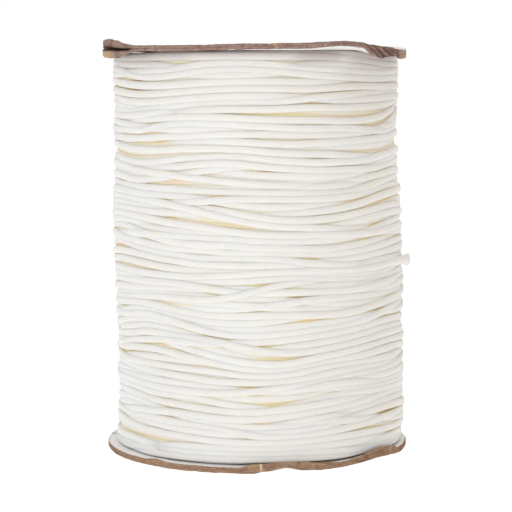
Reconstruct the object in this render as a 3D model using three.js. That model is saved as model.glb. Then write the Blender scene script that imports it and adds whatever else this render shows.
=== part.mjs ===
// Roll of knotting cord: a 2 mm round satin cord wound between two thin cardboard discs.
// The spool stands on its lower disc. Millimetres, +Z up along the spool's axis, the origin at
// the middle of the underside. Azimuths are in degrees: 0 faces -Y, the front, and +90 faces +X.

import * as THREE from 'three';

// Driving dimensions
const CORD_DIAMETER = 2.0;
const DISC_RADIUS = 36.4;
const DISC_THICKNESS = 1.3;
const SPOOL_HEIGHT = 96.5; // over the flat middles of both discs
const PIECE_GAP = 0.3;

// The discs sit a little off one line, as their glued centres do.
const TOP_DISC_X = -0.33;
const BOTTOM_DISC_X = 0.33;

// How each disc's rim has been knocked about. upper and lower are how far the rim's two edges
// stand above their flat places, and split is how wide the board's plies have opened there.
const TOP_RIM = [
  { azimuth: -112, upper: 0.0, lower: -0.1, split: 0.0 },
  { azimuth: -96, upper: 0.5, lower: -0.5, split: 0.3 },
  { azimuth: -84, upper: 1.3, lower: -1.0, split: 0.8 },
  { azimuth: -75, upper: 1.6, lower: -1.5, split: 0.9 },
  { azimuth: -67, upper: 1.6, lower: -1.7, split: 0.8 },
  { azimuth: -61, upper: 1.2, lower: -1.7, split: 0.6 },
  { azimuth: -55, upper: 0.4, lower: -0.9, split: 0.5 },
  { azimuth: -49, upper: -0.1, lower: -0.2, split: 0.0 },
  { azimuth: -28, upper: -0.1, lower: -0.2, split: 0.0 },
  { azimuth: 0, upper: 0.2, lower: 0.2, split: 0.0 },
  { azimuth: 16, upper: 0.4, lower: 0.4, split: 0.0 },
  { azimuth: 34, upper: 0.9, lower: 1.1, split: 0.0 },
  { azimuth: 42, upper: 0.7, lower: 0.7, split: 0.0 },
  { azimuth: 47, upper: 0.1, lower: -0.8, split: 0.0 },
  { azimuth: 54, upper: -0.2, lower: -1.8, split: 0.0 },
  { azimuth: 61, upper: -0.5, lower: -1.3, split: 0.0 },
  { azimuth: 66, upper: -0.8, lower: -1.1, split: 0.0 },
  { azimuth: 69, upper: -0.9, lower: -1.8, split: 0.0 },
  { azimuth: 79, upper: -1.0, lower: -1.6, split: 0.0 },
  { azimuth: 92, upper: -0.5, lower: -0.7, split: 0.0 },
  { azimuth: 110, upper: 0.1, lower: 0.1, split: 0.0 },
  { azimuth: 168, upper: 0.2, lower: 0.2, split: 0.0 },
];
const BOTTOM_RIM = [
  { azimuth: -100, upper: 0.2, lower: 0.1, split: 0.0 },
  { azimuth: -55, upper: 0.0, lower: 0.0, split: 0.0 },
  { azimuth: -45, upper: 0.1, lower: 0.0, split: 0.0 },
  { azimuth: -40, upper: 0.5, lower: 0.0, split: 0.0 },
  { azimuth: -33, upper: 0.1, lower: 0.0, split: 0.0 },
  { azimuth: -7, upper: 0.1, lower: 0.1, split: 0.0 },
  { azimuth: -2, upper: 1.0, lower: 0.1, split: 0.0 },
  { azimuth: 3, upper: 1.2, lower: 0.6, split: 0.0 },
  { azimuth: 10, upper: 1.5, lower: 1.4, split: 0.0 },
  { azimuth: 17, upper: 1.3, lower: 0.6, split: 0.0 },
  { azimuth: 24, upper: 0.8, lower: 0.4, split: 0.0 },
  { azimuth: 32, upper: 0.4, lower: 0.5, split: 0.0 },
  { azimuth: 40, upper: 0.9, lower: 0.8, split: 0.0 },
  { azimuth: 46, upper: 1.7, lower: 1.0, split: 0.0 },
  { azimuth: 51, upper: 2.3, lower: 1.2, split: 0.0 },
  { azimuth: 58, upper: 1.9, lower: 0.9, split: 0.0 },
  { azimuth: 69, upper: 0.4, lower: 0.4, split: 0.0 },
  { azimuth: 80, upper: 0.6, lower: 0.5, split: 0.0 },
  { azimuth: 95, upper: 0.1, lower: 0.0, split: 0.0 },
];
const BEND_START_RADIUS = 31; // inside this radius each disc stays flat
const BEND_SHARPNESS = 2; // 1 would tip the rim straight, more curls only its edge
const SPLIT_DEPTH = 4.5;
const BOARD_RING_RADII = [16, 31, 33, 34.6, 35.6]; // rings of points between middle and rim

// The wound body from bottom to top: its radius and how far its middle has drifted towards +X.
const WINDING_PROFILE = [
  { height: 1.6, radius: 29.8, drift: 0.6 },
  { height: 2.2, radius: 31.6, drift: 0.7 },
  { height: 3.2, radius: 33.2, drift: 0.9 },
  { height: 5.0, radius: 34.2, drift: 1.0 },
  { height: 10, radius: 34.6, drift: 1.1 },
  { height: 26, radius: 34.7, drift: 0.9 },
  { height: 36, radius: 34.9, drift: 0.6 },
  { height: 46, radius: 35.0, drift: 0.5 },
  { height: 58, radius: 34.9, drift: 0.4 },
  { height: 66, radius: 34.3, drift: 0.1 },
  { height: 76, radius: 34.1, drift: -0.1 },
  { height: 89, radius: 34.0, drift: -0.1 },
  { height: 92.2, radius: 33.4, drift: -0.1 },
  { height: 93.6, radius: 32.0, drift: -0.1 },
  { height: 94.6, radius: 29.4, drift: -0.1 },
];
// Broad swells where turns have piled up or sunk, as height at the middle of each.
const SWELLS = [
  { azimuth: -78, height: 56, rise: 0.25, wide: 45, tall: 12 },
  { azimuth: -70, height: 30, rise: -0.3, wide: 40, tall: 9 },
  { azimuth: 85, height: 20, rise: 0.3, wide: 40, tall: 14 },
  { azimuth: 10, height: 70, rise: 0.2, wide: 50, tall: 10 },
  { azimuth: 165, height: 40, rise: 0.3, wide: 60, tall: 16 },
  { azimuth: -150, height: 74, rise: 0.25, wide: 50, tall: 12 },
];

// The last turn of the cord: it lies flush among its neighbours across the front, springs off
// the roll on the right and ends there. radius is from the winding's own middle.
const LOOSE_END_ROUTE = [
  { azimuth: -24, radius: 34.0, height: 44.3 },
  { azimuth: -16, radius: 34.0, height: 44.7 },
  { azimuth: -8, radius: 34.0, height: 45.05 },
  { azimuth: 0, radius: 34.0, height: 45.4 },
  { azimuth: 8, radius: 34.0, height: 45.65 },
  { azimuth: 16, radius: 34.0, height: 45.75 },
  { azimuth: 24, radius: 34.0, height: 45.75 },
  { azimuth: 32, radius: 34.0, height: 45.65 },
  { azimuth: 40, radius: 34.0, height: 45.5 },
  { azimuth: 48, radius: 34.0, height: 45.5 },
  { azimuth: 54, radius: 34.0, height: 45.65 },
  { azimuth: 60, radius: 34.05, height: 45.85 },
  { azimuth: 65, radius: 34.2, height: 46.0 },
  { azimuth: 70, radius: 34.6, height: 46.05 },
  { azimuth: 74.5, radius: 35.2, height: 46.0 },
  { azimuth: 77, radius: 35.75, height: 45.9 },
  { azimuth: 79.5, radius: 36.4, height: 45.75 },
];
const ROUTE_DRIFT = 0.5; // the winding's drift at the height of the loose end
const CORD_SIDES = 8;
const CORD_STEPS = 28;

const boardMaterial = new THREE.MeshStandardMaterial({ color: 0x9c7860, roughness: 0.9, metalness: 0 });
const cordMaterial = new THREE.MeshStandardMaterial({ color: 0xe9e7e2, roughness: 0.45, metalness: 0 });

const radians = THREE.MathUtils.degToRad;
const smooth = (share) => THREE.MathUtils.smoothstep(share, 0, 1);

// Reads the named columns of a table at one place, easing from row to row. With a period the
// table runs on from its last row to its first.
function readTable(rows, key, place, columns, period = 0) {
  let at = place;
  let list = rows;
  if (period) {
    at = THREE.MathUtils.euclideanModulo(place - rows[0][key], period) + rows[0][key];
    list = [...rows, { ...rows[0], [key]: rows[0][key] + period }];
  }
  const last = list.length - 1;
  let next = list.findIndex((row) => row[key] >= at);
  if (next < 0) next = last;
  const after = list[Math.max(next, 1)];
  const before = list[Math.max(next, 1) - 1];
  const share = THREE.MathUtils.clamp((at - before[key]) / (after[key] - before[key]), 0, 1);
  const found = {};
  for (const column of columns) {
    found[column] = THREE.MathUtils.lerp(before[column], after[column], period ? smooth(share) : share);
  }
  return found;
}

// A closed body of revolution whose section changes with azimuth. section(azimuth) gives the
// same number of [x, y, z] points each time, from the upper pole's neighbour round to the lower
// pole's, and the poles close its two ends.
function turnedBody(azimuths, section, upperPole, lowerPole) {
  const positions = [];
  const indices = [];
  const sections = azimuths.map(section);
  const rows = sections[0].length;
  for (const points of sections) {
    for (const point of points) positions.push(...point);
  }
  const upper = positions.length / 3;
  positions.push(...upperPole, ...lowerPole);
  const lower = upper + 1;
  azimuths.forEach((_, column) => {
    const here = column * rows;
    const there = ((column + 1) % azimuths.length) * rows;
    indices.push(upper, here, there);
    for (let row = 0; row < rows - 1; row += 1) {
      indices.push(here + row, here + row + 1, there + row + 1);
      indices.push(here + row, there + row + 1, there + row);
    }
    indices.push(lower, there + rows - 1, here + rows - 1);
  });
  const geometry = new THREE.BufferGeometry();
  geometry.setAttribute('position', new THREE.Float32BufferAttribute(positions, 3));
  geometry.setIndex(indices);
  geometry.computeVertexNormals();
  return geometry;
}

// Azimuths all the way round: close together where busy(azimuth) says so, wide apart elsewhere.
function azimuthsRound(busy, fine, coarse) {
  const found = [];
  for (let azimuth = -180; azimuth < 180 - fine / 2; ) {
    found.push(azimuth);
    const step = busy(azimuth) || busy(azimuth + coarse) ? fine : coarse;
    azimuth = Math.min(azimuth + step, 180);
  }
  return found;
}

const around = (azimuth, radius, height, shift) => [
  shift + radius * Math.sin(radians(azimuth)),
  -radius * Math.cos(radians(azimuth)),
  height,
];

function boardDisc(rim, underside, shift) {
  const topside = underside + DISC_THICKNESS;
  const bend = (radius) => {
    const share = (radius - BEND_START_RADIUS) / (DISC_RADIUS - BEND_START_RADIUS);
    return Math.max(share, 0) ** BEND_SHARPNESS;
  };
  const section = (azimuth) => {
    const { upper, lower, split } = readTable(rim, 'azimuth', azimuth, ['upper', 'lower', 'split'], 360);
    const topEdge = topside + upper;
    const lowEdge = underside + lower;
    const middle = (topEdge + lowEdge) / 2;
    const half = Math.max(split, 0.04) / 2;
    const notch = SPLIT_DEPTH * Math.min(split / 0.6, 1);
    const upwards = BOARD_RING_RADII.map((radius) => (
      around(azimuth, radius, topside + upper * bend(radius), shift)));
    const edge = [
      around(azimuth, DISC_RADIUS, topEdge, shift),
      around(azimuth, DISC_RADIUS, middle + half, shift),
      around(azimuth, DISC_RADIUS - notch, middle, shift),
      around(azimuth, DISC_RADIUS, middle - half, shift),
      around(azimuth, DISC_RADIUS, lowEdge, shift),
    ];
    const downwards = [...BOARD_RING_RADII].reverse().map((radius) => (
      around(azimuth, radius, underside + lower * bend(radius), shift)));
    return [...upwards, ...edge, ...downwards];
  };
  const busy = (azimuth) => {
    const here = readTable(rim, 'azimuth', azimuth, ['upper', 'lower'], 360);
    return azimuth > -112 && azimuth < 92 && Math.abs(here.upper) + Math.abs(here.lower) > 0.5;
  };
  return turnedBody(azimuthsRound(busy, 2.5, 6), section, [shift, 0, topside], [shift, 0, underside]);
}

// How far the wound body's surface stands from its middle, with the swells and, under the loose
// end, the channel that holds it.
function windingRadius(azimuth, height) {
  let { radius } = readTable(WINDING_PROFILE, 'height', height, ['radius']);
  for (const swell of SWELLS) {
    const turn = THREE.MathUtils.euclideanModulo(azimuth - swell.azimuth + 180, 360) - 180;
    radius += swell.rise * Math.exp(-((turn / swell.wide) ** 2) - ((height - swell.height) / swell.tall) ** 2);
  }
  return radius;
}

const CHANNEL_START = LOOSE_END_ROUTE[0].azimuth - 0.7;
const CHANNEL_END = LOOSE_END_ROUTE[LOOSE_END_ROUTE.length - 1].azimuth;
const CHANNEL_HALF_WIDTH = CORD_DIAMETER / 2 + PIECE_GAP + 0.05;
const CHANNEL_FADE = 26; // degrees past each end in which the rows of points level out

function woundBody() {
  const route = LOOSE_END_ROUTE;
  const first = route[0];
  const last = route[route.length - 1];
  const level = (first.height + last.height) / 2;
  const routeHeight = (azimuth) => {
    if (azimuth < first.azimuth) {
      return THREE.MathUtils.lerp(first.height, level, smooth((first.azimuth - azimuth) / CHANNEL_FADE));
    }
    if (azimuth > last.azimuth) {
      return THREE.MathUtils.lerp(last.height, level, smooth((azimuth - last.azimuth) / CHANNEL_FADE));
    }
    return readTable(route, 'azimuth', azimuth, ['height']).height;
  };
  const heightsBelow = WINDING_PROFILE.map((row) => row.height).filter((height) => height < level - 5);
  const heightsAbove = WINDING_PROFILE.map((row) => row.height).filter((height) => height > level + 5);
  const besideChannel = [3.4, CHANNEL_HALF_WIDTH + 0.3];
  const insideChannel = [CHANNEL_HALF_WIDTH, -CHANNEL_HALF_WIDTH];
  const section = (azimuth) => {
    const height0 = routeHeight(azimuth);
    const inRange = azimuth >= CHANNEL_START && azimuth <= CHANNEL_END;
    const floor = inRange
      ? readTable(route, 'azimuth', azimuth, ['radius']).radius - CHANNEL_HALF_WIDTH
      : Infinity;
    const point = (height, deepest) => {
      const { drift } = readTable(WINDING_PROFILE, 'height', height, ['drift']);
      return around(azimuth, Math.min(windingRadius(azimuth, height), deepest), height, drift);
    };
    return [
      ...[...heightsAbove].reverse().map((height) => point(height, Infinity)),
      ...besideChannel.map((offset) => point(height0 + offset, Infinity)),
      ...insideChannel.map((offset) => point(height0 + offset, floor)),
      ...[...besideChannel].reverse().map((offset) => point(height0 - offset, Infinity)),
      ...[...heightsBelow].reverse().map((height) => point(height, Infinity)),
    ];
  };
  const busy = (azimuth) => azimuth > -30 && azimuth < 84;
  const azimuths = azimuthsRound(busy, 4, 5);
  for (const wall of [CHANNEL_START - 0.6, CHANNEL_START]) azimuths.push(wall);
  azimuths.sort((one, other) => one - other);
  const top = WINDING_PROFILE[WINDING_PROFILE.length - 1];
  const bottom = WINDING_PROFILE[0];
  return turnedBody(azimuths, section, [top.drift, 0, top.height], [bottom.drift, 0, bottom.height]);
}

function looseEnd() {
  const points = LOOSE_END_ROUTE.map(({ azimuth, radius, height }) => (
    new THREE.Vector3(...around(azimuth, radius, height, ROUTE_DRIFT))));
  const circle = new THREE.Shape();
  for (let side = 0; side < CORD_SIDES; side += 1) {
    const turn = (side / CORD_SIDES) * 2 * Math.PI;
    const x = (CORD_DIAMETER / 2) * Math.cos(turn);
    const y = (CORD_DIAMETER / 2) * Math.sin(turn);
    if (side === 0) circle.moveTo(x, y);
    else circle.lineTo(x, y);
  }
  circle.closePath();
  return new THREE.ExtrudeGeometry(circle, {
    steps: CORD_STEPS,
    bevelEnabled: false,
    extrudePath: new THREE.CatmullRomCurve3(points),
  });
}

function named(name, geometry, material) {
  const mesh = new THREE.Mesh(geometry, material);
  mesh.name = name;
  return mesh;
}

const roll = new THREE.Group();
roll.add(named('winding', woundBody(), cordMaterial));
roll.add(named('loose_end', looseEnd(), cordMaterial));
roll.add(named('top_disc', boardDisc(TOP_RIM, SPOOL_HEIGHT - DISC_THICKNESS, TOP_DISC_X), boardMaterial));
roll.add(named('bottom_disc', boardDisc(BOTTOM_RIM, 0, BOTTOM_DISC_X), boardMaterial));

export default roll;
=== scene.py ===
"""The dressed roll of knotting cord: every turn of the outer cord, the loose end and both discs.

The cord is wound here by a small simulation. Each turn first settles into the easiest line over
the turns below it, and then all of them push each other aside and sink together. What is drawn is
the look of a tight roll: its turns run into one another, most of all where they cross.
Lengths in this file are millimetres until a mesh is made, azimuths are degrees: 0 faces -Y, the
front, and +90 faces +X.
"""
import math

import bpy
import numpy as np
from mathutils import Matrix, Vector


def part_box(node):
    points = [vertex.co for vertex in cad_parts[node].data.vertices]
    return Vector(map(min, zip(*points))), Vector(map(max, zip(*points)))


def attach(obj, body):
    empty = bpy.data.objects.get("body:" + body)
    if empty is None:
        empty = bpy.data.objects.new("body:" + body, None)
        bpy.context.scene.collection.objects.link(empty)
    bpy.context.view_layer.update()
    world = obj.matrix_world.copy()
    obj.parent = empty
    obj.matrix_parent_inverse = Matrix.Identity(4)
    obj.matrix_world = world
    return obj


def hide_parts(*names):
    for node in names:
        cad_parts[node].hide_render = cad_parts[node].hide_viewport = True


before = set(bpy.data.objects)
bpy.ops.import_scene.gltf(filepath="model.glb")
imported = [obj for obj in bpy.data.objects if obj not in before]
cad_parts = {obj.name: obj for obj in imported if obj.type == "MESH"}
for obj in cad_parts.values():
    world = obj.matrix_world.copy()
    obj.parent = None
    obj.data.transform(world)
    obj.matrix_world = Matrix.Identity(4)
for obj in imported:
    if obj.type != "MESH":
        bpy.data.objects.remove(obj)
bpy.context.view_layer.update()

MM = 0.001
SEED = 26
BOARD_SEED = 49

# ---- the same values as the source
CORD_DIAMETER = 2.0
DISC_RADIUS = 36.4
DISC_THICKNESS = 1.3
SPOOL_HEIGHT = 96.5
BEND_START_RADIUS = 31.0
BEND_SHARPNESS = 2.0

# azimuth, rise of the rim's upper edge, of its lower edge, width of the split between the plies
TOP_RIM = np.array([
    (-112, 0, -0.1, 0), (-96, 0.5, -0.5, 0.3), (-84, 1.3, -1, 0.8), (-75, 1.6, -1.5, 0.9),
    (-67, 1.6, -1.7, 0.8), (-61, 1.2, -1.7, 0.6), (-55, 0.4, -0.9, 0.5), (-49, -0.1, -0.2, 0),
    (-28, -0.1, -0.2, 0), (0, 0.2, 0.2, 0), (16, 0.4, 0.4, 0), (34, 0.9, 1.1, 0), (42, 0.7, 0.7, 0),
    (47, 0.1, -0.8, 0), (54, -0.2, -1.8, 0), (61, -0.5, -1.3, 0), (66, -0.8, -1.1, 0),
    (69, -0.9, -1.8, 0), (79, -1, -1.6, 0), (92, -0.5, -0.7, 0), (110, 0.1, 0.1, 0),
    (168, 0.2, 0.2, 0),
])
BOTTOM_RIM = np.array([
    (-100, 0.2, 0.1, 0), (-55, 0, 0, 0), (-45, 0.1, 0, 0), (-40, 0.5, 0, 0), (-33, 0.1, 0, 0),
    (-7, 0.1, 0.1, 0), (-2, 1, 0.1, 0), (3, 1.2, 0.6, 0), (10, 1.5, 1.4, 0), (17, 1.3, 0.6, 0),
    (24, 0.8, 0.4, 0), (32, 0.4, 0.5, 0), (40, 0.9, 0.8, 0), (46, 1.7, 1, 0), (51, 2.3, 1.2, 0),
    (58, 1.9, 0.9, 0), (69, 0.4, 0.4, 0), (80, 0.6, 0.5, 0), (95, 0.1, 0, 0),
])

# height, radius of the wound surface, how far its middle has drifted towards +X: the source's
# values between 10 and 89, and fuller at both ends, where the turns reach into the corners
WINDING_PROFILE = np.array([
    (2.0, 33.9, 0.7), (5.0, 34.3, 1.0), (10, 34.6, 1.1), (26, 34.7, 0.9), (36, 34.9, 0.6),
    (46, 35.0, 0.5), (58, 34.9, 0.4), (66, 34.3, 0.1), (76, 34.1, -0.1), (89, 34.0, -0.1),
    (94.6, 33.7, -0.1),
])
# broad swells: azimuth, height, rise, and how far each reaches round and up
SWELLS = [
    (-78, 56, 0.25, 45, 12), (-70, 30, -0.3, 40, 9), (85, 20, 0.3, 40, 14),
    (10, 70, 0.2, 50, 10), (165, 40, 0.3, 60, 16), (-150, 74, 0.25, 50, 12),
]

# the last of the cord: azimuth, radius from the winding's own middle, height
LOOSE_END_ROUTE = np.array([
    (-24, 34.0, 44.3), (-16, 34.0, 44.7), (-8, 34.0, 45.05), (0, 34.0, 45.4), (8, 34.0, 45.65),
    (16, 34.0, 45.75), (24, 34.0, 45.75), (32, 34.0, 45.65), (40, 34.0, 45.5), (48, 34.0, 45.5),
    (54, 34.0, 45.65), (60, 34.05, 45.85), (65, 34.2, 46.0), (70, 34.6, 46.05),
    (74.5, 35.2, 46.0), (77, 35.75, 45.9), (79.5, 36.4, 45.75),
])
ROUTE_DRIFT = 0.5


# ---- small helpers
def around(azimuth, radius, height, drift):
    """Points in millimetres from azimuth, radius and height."""
    turn = np.radians(azimuth)
    x = drift + radius * np.sin(turn)
    y = -radius * np.cos(turn)
    return np.stack(np.broadcast_arrays(x, y, height), axis=-1)


def smooth_step(share):
    share = np.clip(share, 0.0, 1.0)
    return share * share * (3.0 - 2.0 * share)


def drift_at(height):
    """How far the winding's middle has drifted towards +X at this height."""
    return np.interp(height, WINDING_PROFILE[:, 0], WINDING_PROFILE[:, 2])


def turn_from(azimuth, start):
    """Degrees round from start to azimuth, the shorter way."""
    return (azimuth - start + 180.0) % 360.0 - 180.0


def patch(azimuth, height, at, level, wide, tall):
    """1 at one place on the roll, and softly less round it."""
    return np.exp(-(turn_from(azimuth, at) / wide) ** 2 - ((height - level) / tall) ** 2)


def bell(width, reach):
    """The weights of a soft average over reach steps each way."""
    weights = np.exp(-0.5 * (np.arange(-reach, reach + 1) / width) ** 2)
    return weights / weights.sum()


def softened(values, width, reach):
    return np.convolve(np.pad(values, reach, mode="edge"), bell(width, reach), "valid")


def read_rim(table, azimuth):
    """The rim table's columns at these azimuths, eased from row to row all the way round."""
    start = table[0, 0]
    at = (np.asarray(azimuth) - start) % 360.0 + start
    rows = np.vstack([table, table[0] + [360.0, 0.0, 0.0, 0.0]])
    low = np.clip(np.searchsorted(rows[:, 0], at, side="right") - 1, 0, len(rows) - 2)
    share = smooth_step((at - rows[low, 0]) / (rows[low + 1, 0] - rows[low, 0]))[..., None]
    return rows[low, 1:] * (1.0 - share) + rows[low + 1, 1:] * share


def bend(radius):
    share = (radius - BEND_START_RADIUS) / (DISC_RADIUS - BEND_START_RADIUS)
    return np.maximum(share, 0.0) ** BEND_SHARPNESS


def eased_between(knots, at):
    """The values at these places between the knots, which stand in a ring."""
    low = at.astype(int)
    share = smooth_step(at - low)
    return knots[low % len(knots)] * (1.0 - share) + knots[(low + 1) % len(knots)] * share


def smooth_noise(rng, count, period, size):
    """A wandering value for each of count steps, with a new target every period steps."""
    knots = rng.normal(0.0, size, int(count / period) + 4)
    return eased_between(knots, np.arange(count) / period)


def length_along(line):
    """How far along the line each of its points lies."""
    return np.concatenate([[0.0], np.cumsum(np.linalg.norm(np.diff(line, axis=0), axis=1))])


def catmull_rom(points, per_span):
    """A smooth line through the points, with per_span steps from each to the next."""
    padded = np.vstack([2 * points[0] - points[1], points, 2 * points[-1] - points[-2]])
    share = (np.arange(per_span) / per_span)[None, :, None]
    p0, p1, p2, p3 = (padded[i : len(padded) - 3 + i, None, :] for i in range(4))
    spans = 0.5 * (2 * p1 + (p2 - p0) * share + (2 * p0 - 5 * p1 + 4 * p2 - p3) * share ** 2
                   + (3 * p1 - p0 - 3 * p2 + p3) * share ** 3)
    return np.vstack([spans.reshape(-1, points.shape[1]), points[-1:]])


def add_object(name, data, material=None):
    piece = bpy.data.objects.new(name, data)
    bpy.context.scene.collection.objects.link(piece)
    if material is not None:
        data.materials.append(material)
    return piece


def add_floats(mesh, name, values):
    """A value for every point, or the same one for all."""
    attribute = mesh.attributes.new(name, "FLOAT", "POINT")
    each = np.full(len(mesh.vertices), np.ravel(values), dtype=np.float32)
    attribute.data.foreach_set("value", each)


def colour_cord(mesh, depth, tone_and_shade, rim_shadow):
    """How deep each point lies between the turns, how creamy it is and how much painted rim shadow
    it gets.
    """
    for name, values in (("depth", depth), ("tone_and_shade", tone_and_shade), ("rim_shadow", rim_shadow)):
        add_floats(mesh, name, values)


def add_uv(mesh, name, pairs):
    layer = mesh.uv_layers.new(name=name)
    layer.data.foreach_set("uv", np.asarray(pairs, dtype=np.float32).ravel())


def add_grid_uv(mesh, name, run, rise):
    """For a lathed body, how far round and how far up each of its points lies."""
    pairs = np.concatenate([np.stack([run, rise], -1).reshape(-1, 2), np.zeros((2, 2))])
    corners = np.empty(len(mesh.loops), dtype=np.int32)
    mesh.loops.foreach_get("vertex_index", corners)
    add_uv(mesh, name, pairs[corners])


def tube_mesh(name, centre, outward, wide, thick, sides, start_length=0.0, fullness=2.0):
    """A closed tube along centre. At each point it is wide across the roll and thick outwards
    (both half sizes), and fullness above 2 squares its section a little."""
    count = len(centre)
    along = np.gradient(centre, axis=0)
    along /= np.linalg.norm(along, axis=1, keepdims=True)
    out = outward - along * np.sum(outward * along, axis=1, keepdims=True)
    out /= np.linalg.norm(out, axis=1, keepdims=True)
    side = np.cross(along, out)
    turn = 2.0 * np.pi * np.arange(sides) / sides
    power = 2.0 / fullness
    across = np.sign(np.cos(turn)) * np.abs(np.cos(turn)) ** power
    upward = np.sign(np.sin(turn)) * np.abs(np.sin(turn)) ** power
    rings = (centre[:, None] + side[:, None] * (wide[:, None] * across)[..., None]
             + out[:, None] * (thick[:, None] * upward)[..., None])
    ring = np.arange(count - 1)[:, None] * sides
    step = np.arange(sides)[None]
    after = (step + 1) % sides
    there = ring + sides
    quads = np.stack([ring + step, there + step, there + after, ring + after], axis=-1)
    quads = quads.reshape(-1, 4)
    last = (count - 1) * sides
    ends = [list(range(sides)), [last + i for i in range(sides)][::-1]]
    mesh = bpy.data.meshes.new(name)
    mesh.from_pydata((rings.reshape(-1, 3) * MM).tolist(), [], quads.tolist() + ends)
    length = length_along(centre) + start_length
    low, high = length[:-1, None] + 0 * step, length[1:, None] + 0 * step
    left, right = step / sides + 0 * low, (step + 1) / sides + 0 * low
    pairs = np.stack([np.stack([low, left], -1), np.stack([high, left], -1),
                      np.stack([high, right], -1), np.stack([low, right], -1)], axis=2)
    add_uv(mesh, "cord_uv", np.concatenate([pairs.reshape(-1, 2), np.zeros((2 * sides, 2))]))
    mesh.shade_smooth()
    mesh.set_sharp_from_angle(angle=math.radians(60))
    return mesh, rings


# ---- the camera
CAMERA_PLACE = (0.0, -0.4505, 0.0909)
CAMERA_TILT = 84.3
CAMERA_LENS = 131.1

camera_data = bpy.data.cameras.new("camera")
camera_data.lens = CAMERA_LENS
camera_data.sensor_width = 36.0
camera_data.clip_start = 0.01
camera = add_object("camera", camera_data)
camera.location = CAMERA_PLACE
camera.rotation_euler = (math.radians(CAMERA_TILT), 0.0, 0.0)
bpy.context.scene.camera = camera


# ---- winding the cord
COLUMNS = 120  # steps a turn, 3 degrees each
STEP_DEGREES = 360.0 / COLUMNS
GRID = 0.1  # spacing of the heights in the winder's map
WOUND_RADIUS = 34.0  # the roll's, for the length of a step and the bending of the cord
SETTLED_RADIUS = 0.745  # half the distance that turns keep as they settle; drawn, they are wider
UNDER_PITCH = 1.7  # the even turns beneath, of which only the tops are felt
UNDER_RADIUS = 28.9  # of their middles
ROUTE_END = 72.0  # the azimuth up to which the loose end keeps its channel
# each layer: first and last height, pitch, how far the hand strays and over how many turns
LAYERS = [(42.0, 94.4, 1.6, 0.9, 0.4), (94.4, 2.5, 1.34, 2.4, 0.6), (2.5, 42.8, 1.34, 2.4, 0.6)]
DWELL = 0.8  # turns spent against a disc before the hand comes back
# where the hand led several turns aside: azimuth, height, lift, and how far round and up
WAVES = [
    (-58, 84.5, -1.3, 22, 6), (-4, 86, 0.6, 24, 6), (-52, 69, -0.9, 16, 6), (-16, 73, 0.8, 20, 6),
    (4, 59, -1.5, 24, 6), (72, 62, 1.8, 26, 7), (-66, 54, 1.3, 24, 6), (30, 53, -0.9, 20, 5),
    (-62, 46, 0.9, 22, 6), (-14, 40, -0.7, 20, 6), (-48, 31.5, 1.7, 20, 6.5),
    (4, 27, -1.7, 22, 6.5), (62, 30, 1.3, 22, 6.5), (-62, 13, 1.3, 22, 6.5),
    (-4, 11, -1.3, 24, 6.5), (54, 12, 1, 24, 6.5), (30, 20, 0.8, 18, 5), (45, 76, -0.4, 22, 6),
    (86, 82, 0.9, 22, 6),
]
HIDDEN_WAVES = 26  # more of them on the far side, at random
# the plainest places where two turns lie apart and the darker ones beneath show between them:
# azimuth, height, half length in degrees, how far apart at the middle, or together where minus
PARTED = [
    (50, 92, 18, 0.45), (20, 78, 14, 0.45), (40, 70, 25, 0.5), (15, 58, 22, 0.4),
    (-20, 50, 10, 0.45), (-50, 30, 10, 0.4), (10, 27, 14, 0.45), (0, 11, 20, 0.5),
    (45, 8, 18, 0.35), (18, 81.2, 34, -0.6),
]
MORE_PARTED = 78  # and more of them all round, at random

column_azimuth = np.arange(COLUMNS) * STEP_DEGREES
heights = np.arange(int(SPOOL_HEIGHT / GRID) + 1) * GRID


def under_surface(azimuth, height):
    """The tops of the even turns beneath."""
    offset = (height - azimuth * UNDER_PITCH / 360.0) % UNDER_PITCH - UNDER_PITCH / 2
    return UNDER_RADIUS + np.sqrt(np.maximum(SETTLED_RADIUS ** 2 - offset ** 2, 0.0))


DISC_CLEARANCE = 1.04  # from a disc's face to the middle of a turn beside it
OUTER_RADIUS = 34.2  # where the turns meet the bent rims


def height_limits(azimuth):
    """How low and how high a cord's middle may lie between the bent rims."""
    below, above = read_rim(BOTTOM_RIM, azimuth), read_rim(TOP_RIM, azimuth)
    reach = bend(OUTER_RADIUS)
    low = DISC_THICKNESS + np.maximum(below[..., 0], 0.0) * (reach + 0.2) + DISC_CLEARANCE
    high = SPOOL_HEIGHT - DISC_THICKNESS + above[..., 1] * reach - DISC_CLEARANCE
    return low, high


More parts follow.
